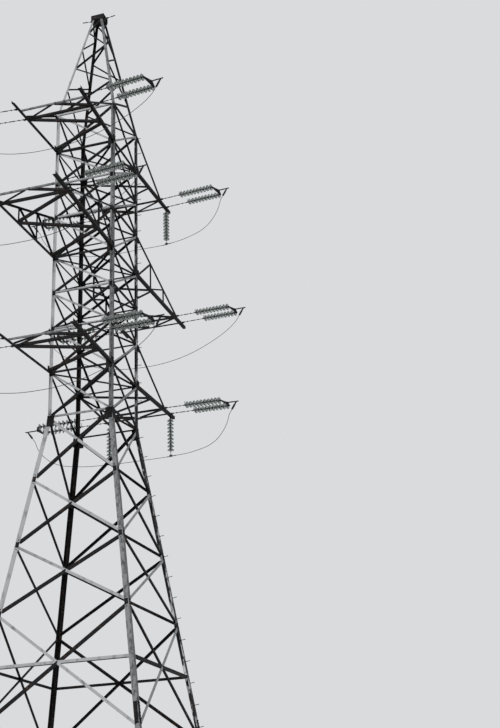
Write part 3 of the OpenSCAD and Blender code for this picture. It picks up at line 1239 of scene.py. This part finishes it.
@dataclass
class TensionSets(Assembly):
    """The double tension strings of a crossarm, with shackles, links, yoke, clamp and jumper terminal."""

    line_angle: float = 12.0
    droop: float = 5.5
    start_out: float = 0.012
    discs: int = 10
    disc_pitch: float = 0.1095
    first_disc: float = 0.579
    yoke_at: float = 1.675
    bolt_size: float = 1.1
    cheek: Triple = (0.042, 0.066, 0.009)
    bridge: Triple = (0.040, 0.022, 0.036)
    clevis: Triple = (0.030, 0.064, 0.006)
    flag: Triple = (0.046, 0.016, 0.092)
    flag_bolts: tuple[float, float] = (0.026, 0.070)
    yoke_edge: float = 0.030
    yoke_t: float = 0.012
    yoke_depths: tuple[float, float] = (0.020, 0.100)
    yoke_pin: float = 0.078
    clamp_at: float = 0.090
    terminal_at: float = 0.354
    terminal_turn: float = -150.0
    link: Outline = rings(
        *((12, 0), (16, 8), (16, 30), (8, 38), (8, 90), (15, 96), (18, 110), (15, 124), (8, 130), (8, 200)),
        *((13, 206), (13, 330), (8, 336), (8, 400), (15, 406), (18, 420), (15, 434), (8, 440), (8, 520)),
        *((14, 526), (18, 545), (14, 562), (13, 582)),
    )
    clamp: Outline = rings(
        *((12, 0), (12, 20), (16.5, 26), (16.5, 200), (14, 206), (14, 290), (16.5, 296), (16.5, 322)),
        (10, 330),
    )
    terminal: Outline = rings((18, 0), (18, 90), (26, 98), (26, 235), (18, 242), (9.5, 250))
    arcing_horn: Outline = rings((6, 0), (6, 85), (9, 90), (9, 100), (5, 104))

    @property
    def spread(self) -> float:
        """Distance between the two strings, measured square to them."""
        return self.tower.string_gap * math.cos(math.radians(self.line_angle))

    @property
    def lag(self) -> float:
        """How much further back the second string starts."""
        return self.tower.string_gap * math.sin(math.radians(self.line_angle))

    def build(self) -> None:
        """Build the glass and the ironwork of the six crossarms' sets."""
        tower = self.tower
        string = DiscString(self.discs, self.disc_pitch)
        glass, iron = string.glass(), string.iron()
        shackle, yoke = self._shackle(), self._yoke()
        link = turned("link", self.link, 8)
        for arm in ARMS:
            node = f"tension_sets_{arm.name}"
            start, height = tower.lug_start(arm), tower.seats[arm.level] + tower.lug_height
            root = shift(start, -tower.lug_line - self.start_out, height)
            front = root @ tilt(-self.line_angle, "Z") @ tilt(self.droop, "X")
            sets = (front, MIRROR_Y @ front)
            lines = [one @ shift(x) @ FORWARD for one in sets for x in (0.0, self.spread)]
            discs = [line @ shift(z=self.first_disc) for line in lines]
            dressed(copies(glass, discs, f"discs_{arm.name}"), self.finishes.glass, Slot.INSULATOR, node)
            fittings = [placed(iron, disc) for disc in discs]
            for index, line in enumerate(lines):
                back = self.lag * (index % 2)
                longer = Matrix.Diagonal((1.0, 1.0, 1.0 + back / self.first_disc, 1.0))
                fittings.append(placed(link, line @ shift(z=-back) @ longer))
            for way in FRONT_AND_BACK:
                for x in (0.0, tower.string_gap):
                    fittings.append(placed(shackle, way @ shift(start + x, -tower.lug_line, height)))
            fittings += [placed(yoke, one @ shift(y=-self.yoke_at)) for one in sets]
            ironwork = joined(fittings, f"set_fittings_{arm.name}")
            dressed(ironwork, self.finishes.iron, Slot.DARK_STEEL, node)
        discard(glass, iron, shackle, yoke, link)

    def _through_bolt(self, bolt: bpy.types.Object, x: float, y: float, z: float) -> list[bpy.types.Object]:
        """Set one end of a bolt at a height above the XY plane, and the other end below it."""
        return [placed(bolt, shift(x, y, z)), placed(bolt, shift(x, y, -z) @ UPSIDE_DOWN)]

    def _shackle(self) -> bpy.types.Object:
        """Model the shackle that takes a lug of the crossarm, with its bolt, reaching out along -Y.

        Returns:
            The joined shackle.
        """
        parts = [slab("cheek", self.cheek, (0.0, 0.010, z), 0.003) for z in (-0.0135, 0.0135)]
        parts.append(slab("bridge", self.bridge, (0.0, -0.013, 0.0), 0.005))
        bolt = Hardware().bolt(self.bolt_size)
        parts += self._through_bolt(bolt, 0.0, 0.022, self.bridge[2] / 2)
        discard(bolt)
        return joined(parts, "shackle")

    def _yoke_plate(self) -> bpy.types.Object:
        """Model the plate between the two strings and the clamp, which narrows towards the clamp.

        Returns:
            The plate, with the first string's end at the origin.
        """
        wide, middle, low = self.spread + 2 * self.yoke_edge, self.spread / 2, -self.yoke_t / 2
        behind, before = self.yoke_depths
        deselect()
        bpy.ops.mesh.primitive_plane_add(size=1.0, location=(middle, 0.0, low))
        bpy.context.active_object.scale = (wide, 2 * behind, 1.0)
        plate = settle("yoke_plate")
        with editing(plate, Pick.EDGE, lambda point: point.y < 0.001 - behind):
            extrude(y=behind - before)
            resize((2 * self.yoke_edge / wide, 1.0, 1.0), (middle, -before, low))
            bpy.ops.mesh.select_mode(type=Pick.FACE.value)
            bpy.ops.mesh.select_all(action="SELECT")
            extrude(z=self.yoke_t)
            face_out()
        return plate

    def _yoke(self) -> bpy.types.Object:
        """Model the yoke plate with its clevises and bolts, the dead-end clamp and the jumper terminal.

        Returns:
            The joined pieces, with the first string's end at the origin and the line going on along -Y.
        """
        middle = self.spread / 2
        parts = [self._yoke_plate()]
        bolt = Hardware().bolt(self.bolt_size)
        for x, y in ((0.0, 0.0), (self.spread, 0.0), (middle, -self.yoke_pin)):
            parts += [slab("clevis", self.clevis, (x, y + 0.004, z), 0.002) for z in (-0.010, 0.010)]
            parts += self._through_bolt(bolt, x, y, 0.013)
        clamp = turned("dead_end_clamp", self.clamp, 12)
        parts.append(moved(clamp, shift(middle, -self.clamp_at) @ FORWARD))
        down = shift(middle, -self.terminal_at) @ tilt(self.terminal_turn, "X")
        parts.append(moved(turned("jumper_terminal", self.terminal, 12), down))
        parts.append(moved(slab("flag", self.flag, (0.0, 0.0, 0.048), 0.003), down))
        for z in self.flag_bolts:
            for turn in (90.0, -90.0):
                parts.append(placed(bolt, down @ shift(z=z) @ tilt(turn, "X") @ shift(z=0.007)))
        horn = turned("arcing_horn", self.arcing_horn, 6)
        for x in (0.0, self.spread):
            parts.append(placed(horn, shift(x, self.yoke_at - self.first_disc + 0.015, 0.010)))
        discard(bolt, horn)
        return joined(parts, "yoke")


@dataclass
class HangingStrings(Assembly):
    """The strings under the right-hand horns that hold a jumper away from the body, each with its clamp."""

    hang_out: float = 0.570
    hang_in: float = 0.040
    jumper_turn: float = 9.0
    hanger: float = 0.060
    discs: int = 9
    disc_pitch: float = 0.10544
    hook: Outline = rings((9, 1), (9, 20), (15, 26), (15, 44), (9, 50), (9, 62))
    stem: Outline = rings((11, 1006), (11, 1016), (8, 1020), (8, 1094), (12, 1100), (12, 1112))
    strap: Triple = (0.005, 0.030, 0.048)
    boat: Triple = (0.030, 0.048, 0.022)
    boat_tip: Triple = (0.0, 0.020, 0.004)
    keeper_leg: Triple = (0.005, 0.050, 0.034)
    keeper: Triple = (0.038, 0.050, 0.005)
    sleeve: Outline = rings((8.5, -150), (10.5, -140), (11.5, -60), (11.5, 60), (10.5, 140), (8.5, 150))
    sleeve_out: float = 0.0197
    sleeve_drop: float = 1.150

    def build(self) -> None:
        """Build the four strings."""
        finishes, node = self.finishes, "jumper_strings"
        string = DiscString(self.discs, self.disc_pitch)
        glass, iron = string.glass(), string.iron()
        ironwork = joined([*self._ends(), placed(iron, shift(z=self.hanger))], "hanging_ironwork")
        places = [shift(*foot) @ UPSIDE_DOWN for foot, _ in self._feet()]
        shells = copies(glass, [place @ shift(z=self.hanger) for place in places], "hanging_discs")
        dressed(shells, finishes.glass, Slot.INSULATOR, node)
        dressed(copies(ironwork, places, "hanging_fittings"), finishes.iron, Slot.DARK_STEEL, node)
        dressed(self._sleeves(), finishes.strands, Slot.CONDUCTOR, node)
        discard(glass, iron, ironwork)

    def _feet(self) -> list[tuple[Triple, int]]:
        """Find where the strings hang.

        Returns:
            The place of each string, with -1 for one at the front or 1 for one at the back.
        """
        found = []
        for level in HELD_LEVELS:
            x = self.tower.reaches[level] + self.hang_out
            y = self.tower.arm_side(level, x) - self.hang_in
            found += [((x, side * y, self.tower.seats[level]), side) for side in (-1, 1)]
        return found

    def _ends(self) -> list[bpy.types.Object]:
        """Model the hanger above the discs and the stem and jumper clamp below them, along +Z.

        Returns:
            The pieces of one string.
        """
        hook = turned("hook", self.hook, 8)
        straps = [slab("strap", self.strap, (x, 0.0, 0.026), 0.0015) for x in (-0.018, 0.018)]
        stem = turned("stem", self.stem, 8)
        boat = block("boat_clamp", self.boat, (0.0, 0.0, 1.119))
        _, out, up = self.boat_tip
        for side in (-1.0, 1.0):
            with editing(boat, Pick.FACE, lambda point, side=side: point.y * side > 0.0235):
                extrude(0.0, side * out, up)
                resize((0.7, 1.0, 0.6), (0.0, side * 0.044, 1.130))
        legs = [slab("keeper_leg", self.keeper_leg, (x, 0.0, 1.144), 0.001) for x in (-0.0165, 0.0165)]
        keeper = slab("keeper", self.keeper, (0.0, 0.0, 1.1612), 0.001)
        return [hook, *straps, stem, bevelled(boat, 0.002), *legs, keeper]

    def _sleeves(self) -> bpy.types.Object:
        """Model the armour rods, twisted round the jumper where each clamp holds it.

        Returns:
            The four sleeves.
        """
        sleeve = turned("armour_rods", self.sleeve, 10)
        places = []
        for (x, y, z), side in self._feet():
            clamp = shift(x, y + side * self.sleeve_out, z - self.sleeve_drop)
            places.append(clamp @ tilt(side * self.jumper_turn, "Z") @ FORWARD)
        sleeves = copies(sleeve, places, "jumper_armour_rods")
        discard(sleeve)
        return sleeves


@dataclass
class StepBolts(Assembly):
    """The climbing bolts up both flanges of the front right leg, in turn."""

    first: float = 1.45
    step: float = 0.25
    last: float = 20.0
    outline: Outline = rings((14, 0), (14, 11), (7.5, 12), (7.5, 104), (13, 106), (13, 113))

    def build(self) -> None:
        """Build the bolts of the lower and of the upper leg."""
        bolt = turned("step_bolt", self.outline, 8)
        lower, upper = [], []
        for index in range(int((self.last - self.first) / self.step) + 1):
            height = self.first + index * self.step
            side = Side(index % 2)
            plane, half, up = self.tower.face(side, height)
            above = height >= self.tower.waist
            inset = (self.tower.mast_flange if above else self.tower.leg_flange) / 2
            place = plane @ shift((half - inset) * (1 - 2 * side), up)
            (upper if above else lower).append(place)
        for name, places in (("step_bolts_lower", lower), ("step_bolts_upper", upper)):
            dressed(copies(bolt, places, name), self.finishes.dark, Slot.GALVANISED)
        discard(bolt)


@dataclass
class JointPlates(Assembly):
    """Node plates, splice covers and bolts where the angles of the body meet."""

    small: PlateSize = (0.084, 0.130, 2, 2)
    large: PlateSize = (0.190, 0.300, 3, 4)
    cover: PlateSize = (0.088, 0.460, 2, 7)
    root: PlateSize = (0.170, 0.220, 3, 3)
    small_inset: float = 0.062
    large_inset: float = 0.095
    cover_inset: float = 0.058
    root_inset: float = 0.085
    large_drop: float = 0.10
    cover_rise: float = 0.30
    root_rise: float = 0.03
    lower_inset: float = 0.088
    upper_inset: float = 0.066
    pair_step: float = 0.045
    pair_inset: float = 0.025
    gusset_bolts_up: Triple = (0.035, 0.095, 0.155)
    gusset_bolts_out: Triple = (-0.055, -0.015, 0.045)

    def build(self) -> None:
        """Build the plates and bolts of each side."""
        hardware = Hardware()
        patterns = [hardware.bolted_plate(*size) for size in (self.small, self.large, self.cover, self.root)]
        small, large, cover, root = patterns
        bolt = hardware.bolt()
        for side in Side:
            roots = [seat + self.root_rise for seat in self.tower.seats] if side.has_arms else []
            stands = [
                *((small, height, self.small_inset, True) for height in self._node_heights(side)),
                (large, self.tower.waist - self.large_drop, self.large_inset, False),
                *((root, height, self.root_inset, False) for height in roots),
                (cover, self.tower.splice + self.cover_rise, self.cover_inset, True),
            ]
            plates = [placed(plate, place) for plate, *at in stands for place in self._corners(side, *at)]
            name = side.name.lower()
            dressed(joined(plates, f"node_plates_{name}"), self.finishes.dark, Slot.DARK_STEEL)
            seats = [*self._crossings(side), *self._bar_ends(side), *self._arm_bolts(side)]
            dressed(copies(bolt, seats, f"bolts_{name}"), self.finishes.dark, Slot.DARK_STEEL)
        discard(*patterns, bolt)

    def _corners(self, side: Side, height: float, inset: float, along: bool = False) -> list[Matrix]:
        """Place something on both legs of a side at one height.

        Args:
            side: the side.
            height: the height above the ground.
            inset: distance from the leg's corner.
            along: whether it turns to lie along the leg.

        Returns:
            The two places.
        """
        tower = self.tower
        plane, half, up = tower.face(side, height)
        slope = math.atan((tower.base_half - tower.half) * math.cos(tower.lean) / tower.waist)
        lean = math.degrees(slope) if along and height < tower.waist else 0.0
        return [plane @ shift(s * (half - inset), up) @ tilt(s * lean, "Z") for s in (-1, 1)]

    def _node_heights(self, side: Side) -> list[float]:
        """Find where panels meet and no crossarm's own plate covers the node.

        Args:
            side: the side.

        Returns:
            The heights.
        """
        seats, depth = self.tower.seats, self.tower.arm_depth
        taken = seats if side.has_arms else [*seats, *(seat + depth for seat in seats)]
        heights = [*self.tower.lower_levels[2:-1], *self.tower.body_levels[1:-1]]
        return [height for height in heights if height not in taken]

    def _crossings(self, side: Side) -> list[Matrix]:
        """Place one bolt where the two diagonals of each panel cross.

        Args:
            side: the side.

        Returns:
            The places.
        """
        tower = self.tower
        spots = [(tower.crossing(low, high), tower.leg_t) for low, high in pairwise(tower.lower_levels)]
        spots += [((low + high) / 2, tower.mast_t) for low, high in pairwise(tower.body_levels)]
        places = []
        for height, depth in spots:
            plane, _, up = tower.face(side, height)
            places.append(plane @ shift(0.0, up, -depth))
        return places

    def _bar_ends(self, side: Side) -> list[Matrix]:
        """Place a pair of bolts where each diagonal ends on a leg.

        Args:
            side: the side.

        Returns:
            The places.
        """
        tower, step, near = self.tower, self.pair_step, self.pair_inset
        places = []
        for levels, reach, inset in (
            (tower.lower_levels, tower.brace, self.lower_inset),
            (tower.body_levels, tower.light, self.upper_inset),
        ):
            for low, high in pairwise(levels):
                places += self._corners(side, low + reach, inset)
                places += self._corners(side, low + reach + step, inset - near)
                places += self._corners(side, high - reach - step, inset - near)
                places += self._corners(side, high - reach, inset)
        return places

    def _arm_bolts(self, side: Side) -> list[Matrix]:
        """Place the bolts of the crossarms' gusset plates on the front and the back.

        Args:
            side: the side.

        Returns:
            The places, none on the right and the left.
        """
        places = []
        _, thick, high = self.tower.gusset
        seats = [] if side.has_arms else self.tower.seats
        feet = [seat + foot for seat in seats for foot in (0.0, self.tower.arm_depth - high)]
        for height in (foot + up for foot in feet for up in self.gusset_bolts_up):
            plane, half, up = self.tower.face(side, height)
            for out in self.gusset_bolts_out:
                places += [plane @ shift(s * (half + out), up, thick) for s in (-1, 1)]
        return places


@dataclass
class Footings(Assembly):
    """Anchor bolts with nuts on the four foot plates, and the stiffeners between a leg and its plate."""

    bolt_gap: float = 0.190
    inset: float = 0.0462
    anchor: Outline = rings((26, 20), (26, 24), (21, 25), (21, 45), (13, 47), (13, 80), (10, 83))
    rib: Triple = (0.070, 0.008, 0.100)
    rib_edge: float = 0.001
    rib_top: float = 0.25
    rib_near: float = 0.030
    rib_far: float = 0.045

    def build(self) -> None:
        """Build the ironwork of the four feet."""
        nut, rib = turned("anchor_bolt", self.anchor, 6), self._rib()
        near, far, up = self.rib_near, self.rib_far, self.tower.foot
        centre, gap = self.tower.base_half - self.inset, self.bolt_gap / 2
        parts = []
        for side in Side:
            foot = tilt(90.0 * side, "Z") @ shift(centre, -centre)
            parts += [placed(nut, foot @ shift(x, y)) for x in (-gap, gap) for y in (-gap, gap)]
            parts.append(placed(rib, foot @ shift(near, -far, up) @ tilt(-90.0, "Z")))
            parts.append(placed(rib, foot @ shift(far, -near, up)))
        discard(nut, rib)
        dressed(joined(parts, "anchor_ironwork"), self.finishes.dark, Slot.DARK_STEEL)

    def _rib(self) -> bpy.types.Object:
        """Model a three-cornered stiffener that stands on the plate and runs out along +X.

        Returns:
            The stiffener.
        """
        long, _, high = self.rib
        rib = slab("rib", self.rib, (long / 2, 0.0, high / 2), self.rib_edge)
        with editing(rib, Pick.FACE, lambda point: point.z > high - 1.5 * self.rib_edge):
            resize((self.rib_top, 1.0, 1.0), (0.0, 0.0, high))
        return rib


@dataclass
class EarthWireFittings(Assembly):
    """Lugs, spreader plates and short dead-end clamps at both ends of the peak's channels."""

    rise: float = 0.100
    front: float = 0.190
    lug: Triple = (0.014, 0.110, 0.060)
    lug_at: float = 0.035
    clamp: Outline = rings((8, 0), (12, 10), (12, 30), (7, 36), (7, 90), (13, 96), (13, 240), (7, 250))
    clamp_at: float = 0.075
    clamp_turn: float = -12.0
    clamp_tilt: float = 94.0
    bolt_at: float = 0.070
    spreader: Triple = (0.290, 0.012, 0.090)
    spreader_at: float = 0.150

    def build(self) -> None:
        """Build the fittings of both ends."""
        height = self.tower.top + self.rise
        clamp = turned("earth_wire_clamp", self.clamp, 8)
        lug = slab("earth_wire_lug", self.lug, (0.0, -self.lug_at, 0.0), 0.004)
        bolt = Hardware().bolt()
        turn, lean = tilt(self.clamp_turn, "Z"), tilt(self.clamp_tilt, "X")
        parts = []
        for way in FRONT_AND_BACK:
            end = way @ shift(0.0, -self.front, height)
            parts.append(placed(lug, end))
            parts.append(placed(clamp, end @ shift(y=-self.clamp_at) @ turn @ lean))
            for side in (1, -1):
                seat = end @ shift(side * self.lug[0] / 2, -self.bolt_at)
                parts.append(placed(bolt, seat @ tilt(side * 90.0, "Y")))
        cross = slab("earth_wire_spreader", self.spreader, (0.0, -self.spreader_at, height), 0.002)
        parts += [placed(cross, way) for way in FRONT_AND_BACK]
        discard(clamp, lug, bolt, cross)
        dressed(joined(parts, "earth_wire_fittings"), self.finishes.iron, Slot.DARK_STEEL)


@dataclass
class PaintedSunlightBracing(Assembly):
    """Braced sides and the peak with some bars painted paler than the rest, as painted sunlight on those
    bars.

    On the left and the front side the diagonals that run down to the front left leg are pale, and so are the
    horizontals of the left side but for those that carry a crossarm. On the peak the two left legs are pale.
    """

    merge: float = 0.00002
    margin: float = 0.1
    lower_inset: float = 0.088
    upper_inset: float = 0.072
    peak_half: float = 0.155
    peak_leg: float = 0.07

    def build(self, nodes: dict[str, bpy.types.Object]) -> None:
        """Copy the nodes and give each face the tone of its bar.

        Args:
            nodes: the CAD nodes by name.
        """
        for side in (Side.LEFT, Side.FRONT):
            for part in ("base", "lower", "upper"):
                name = f"{part}_bracing_{side.name.lower()}"
                self._retone(nodes[name], lambda point, side=side: self._bar_tone(point, side))
        self._retone(nodes["peak_frame"], self._peak_tone)

    def _retone(self, node: bpy.types.Object, tone: Callable[[Vector], Tone]) -> None:
        """Make the visible copy of a node, with its doubles merged and its bars in their tones of painted
        light.

        Args:
            node: the CAD node.
            tone: gives the tone of a face from its middle.
        """
        copy = placed(node, Matrix.Identity(4))
        for key in [key for key in copy.keys() if key.startswith("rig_")]:
            del copy[key]
        with editing(copy):
            bpy.ops.mesh.remove_doubles(threshold=self.merge)
        copy.name = f"{node.name}_two_tone"
        dressed(copy, self.finishes.dark, Slot.GALVANISED, node["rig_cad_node"])
        copy.data.materials.append(self.finishes.palest)
        copy.data.materials.append(self.finishes.pale)
        # Each face's material paints sunlight on the pale bars and shade on the dark ones
        for face in copy.data.polygons:
            face.material_index = tone(face.center)

    def _bar_tone(self, point: Vector, side: Side) -> Tone:
        """Tell the tone of a face of a side from the bar that it is nearest to.

        Args:
            point: the face's middle.
            side: the left or the front side.

        Returns:
            The tone.
        """
        tower, cos = self.tower, math.cos(self.tower.lean)
        here = tower.face(side, point.z)[0].inverted() @ point
        left = side is Side.LEFT
        pale_rise = -1 if left else 1
        nearest, pale = tower.brace, False
        belt = tower.crossing(*tower.lower_levels[1:3])
        for level in (belt, *(level for level in tower.body_levels if level not in tower.seats)):
            gap = abs(here.y - (level / cos if level < tower.waist else level + tower.light / 2))
            if gap < min(nearest, tower.light / 2):
                nearest, pale = gap, left
        for low, high in pairwise([*tower.lower_levels, *tower.body_levels[1:]]):
            below = low < tower.waist
            _, wide, bottom = tower.face(side, low)
            _, narrow, top = tower.face(side, high)
            if below:
                top = high / cos
            if not bottom - self.margin <= here.y <= top + self.margin:
                continue
            inset, reach = (self.lower_inset, tower.brace) if below else (self.upper_inset, tower.light)
            for rise in (-1, 1):
                start = Vector((-rise * (wide - inset), bottom + reach))
                end = Vector((rise * (narrow - inset), top - reach))
                along = (end - start).normalized()
                gap = abs((here.x - start.x) * along.y - (here.y - start.y) * along.x)
                if gap < nearest:
                    nearest, pale = gap, rise == pale_rise
        return Tone.PALEST if pale else Tone.DARK

    def _peak_tone(self, point: Vector) -> Tone:
        """Tell the tone of a face of the peak: only its two left legs are pale, the back one palest.

        Args:
            point: the face's middle.

        Returns:
            The tone.
        """
        tower = self.tower
        share = (point.z - tower.ring) / (tower.top - tower.ring)
        half = tower.half + (self.peak_half - tower.half) * share
        if point.x >= 0 or any(abs(abs(place) - half) >= self.peak_leg for place in point.xy):
            return Tone.DARK
        return Tone.PALEST if point.y > 0 else Tone.PALE


@dataclass
class SteelLattice(Assembly):
    """The CAD's own nodes, each given its finish."""

    def build(self, nodes: dict[str, bpy.types.Object]) -> None:
        """Give three legs a tone of their own, which paints sunlight on them, and everything else the dark
        steel, which paints shade.

        Args:
            nodes: the CAD nodes by name.
        """
        # Lit copies of the zinc: painted sunlight on the two left legs, painted patches of sunlight and shade
        # on the front right one
        legs = {
            "leg_back_left": self.finishes.palest,
            "leg_front_left": self.finishes.pale,
            "leg_front_right": self.finishes.mottled,
        }
        for name, node in nodes.items():
            finish = next((legs[leg] for leg in legs if name.endswith(leg)), self.finishes.dark)
            node.data.materials.clear()
            node.data.materials.append(finish)


def main() -> None:
    """Build the scene in order."""
    logging.basicConfig(level=logging.INFO)
    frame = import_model()
    bpy.context.scene.view_settings.view_transform = "Standard"
    PhotoCamera().build()
    tower, finishes = TowerSizes(), Finishes()
    Jumpers(tower, finishes).build()
    Studio().build()
    for dressing in (SteelLattice, PaintedSunlightBracing):
        dressing(tower, finishes).build(frame["nodes"])
    groups = (Crossarms, TensionSets, HangingStrings, StepBolts, JointPlates, Footings, EarthWireFittings)
    for group in groups:
        group(tower, finishes).build()
    deselect()


if __name__ == "__main__":
    main()
